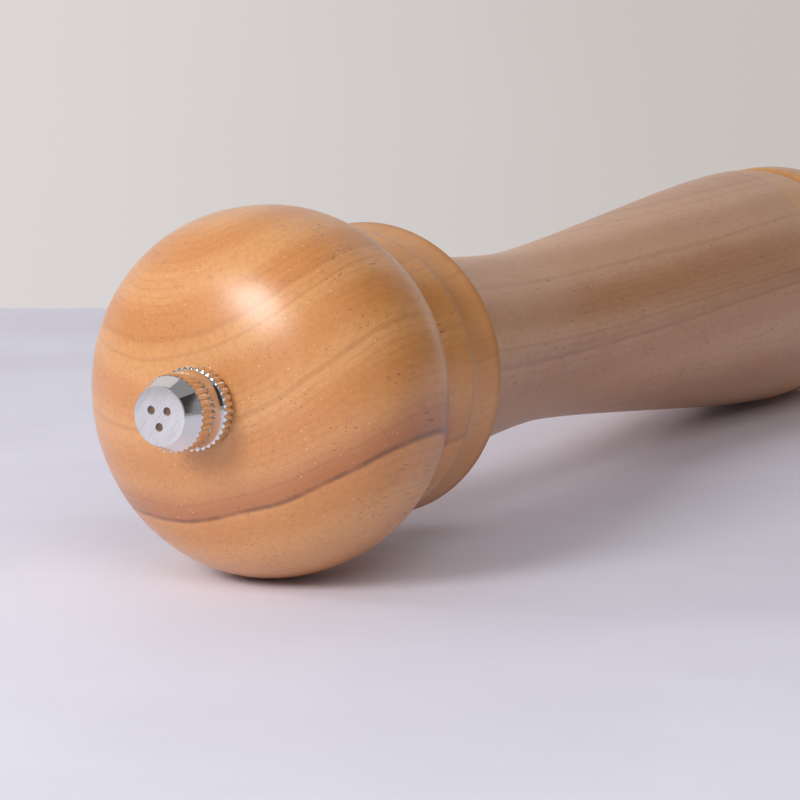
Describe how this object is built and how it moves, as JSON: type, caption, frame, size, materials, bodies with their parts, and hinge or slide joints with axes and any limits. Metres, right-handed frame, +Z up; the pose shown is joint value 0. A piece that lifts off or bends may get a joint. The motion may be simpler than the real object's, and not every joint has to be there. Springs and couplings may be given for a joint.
{
  "type": "pepper mill",
  "caption": "Turned wooden pepper mill with a ball head, a knurled adjusting nut, a waisted body and a steel burr mechanism turned by a square spindle.",
  "frame": {"origin": "centre of the foot, on the surface that the mill stands on", "axes": "+Z up along the mill's axis, towards the head and the adjusting nut; X and Y are across it, with a housing screw on +X"},
  "size_m": [0.056, 0.056, 0.2556],
  "materials": {
    "head_wood": "satin varnish, honey orange, fine pores",
    "body_wood": "satin varnish, pale tan, fine pores",
    "nut_chrome": "polished, with a brushed face",
    "nut_nylon": "moulded",
    "spindle_aluminium": "drawn",
    "plate_steel": "zinc plated",
    "spring_steel": "bright drawn",
    "burr_steel": "hardened, dark",
    "housing_nylon": "moulded"
  },
  "bodies": {
    "mill_body": {"body": "body_wood", "burr_housing": "housing_nylon", "stator_burr": "burr_steel", "upper_bridge": "plate_steel", "bridge_rivet_1": "plate_steel", "bridge_rivet_2": "plate_steel", "housing_screw_1": "plate_steel", "housing_screw_2": "plate_steel", "housing_screw_3": "plate_steel"},
    "turning_washer": {"thrust_washer": "plate_steel", "spring": "spring_steel"},
    "spindle": {"spindle": "spindle_aluminium", "rotor_burr": "burr_steel", "rotor_clip": "spring_steel"},
    "head": {"head_knob": "head_wood", "drive_plate": "plate_steel", "drive_plate_screw_1": "plate_steel", "drive_plate_screw_2": "plate_steel"},
    "washer": {"nut_washer": "plate_steel"},
    "nut": {"adjusting_nut": "nut_chrome", "nut_insert": "nut_nylon"}
  },
  "joints": [
    {"name": "grind_turn", "type": "hinge", "parent": "mill_body", "child": "turning_washer", "pos_m": [0, 0, 0.03], "axis": [0, 0, 1], "continuous": true},
    {"name": "burr_height", "type": "slide", "parent": "turning_washer", "child": "spindle", "axis": [0, 0, 1], "range_m": [-0.0016, 0.0006], "deforming": ["spring"]},
    {"name": "head_lift", "type": "slide", "parent": "turning_washer", "child": "head", "axis": [0, 0, 1], "range_m": [0, 0.065]},
    {"name": "nut_off", "type": "slide", "parent": "head", "child": "washer", "axis": [0, 0, 1], "range_m": [0, 0.02]},
    {"name": "nut_turn", "type": "hinge", "parent": "washer", "child": "nut", "pos_m": [0, 0, 0.25], "axis": [0, 0, 1], "range_deg": [-270, 720]}
  ],
  "couplings": [
    {"joint": "nut_turn", "follows": "burr_height", "rad_per_m": -7854}
  ]
}
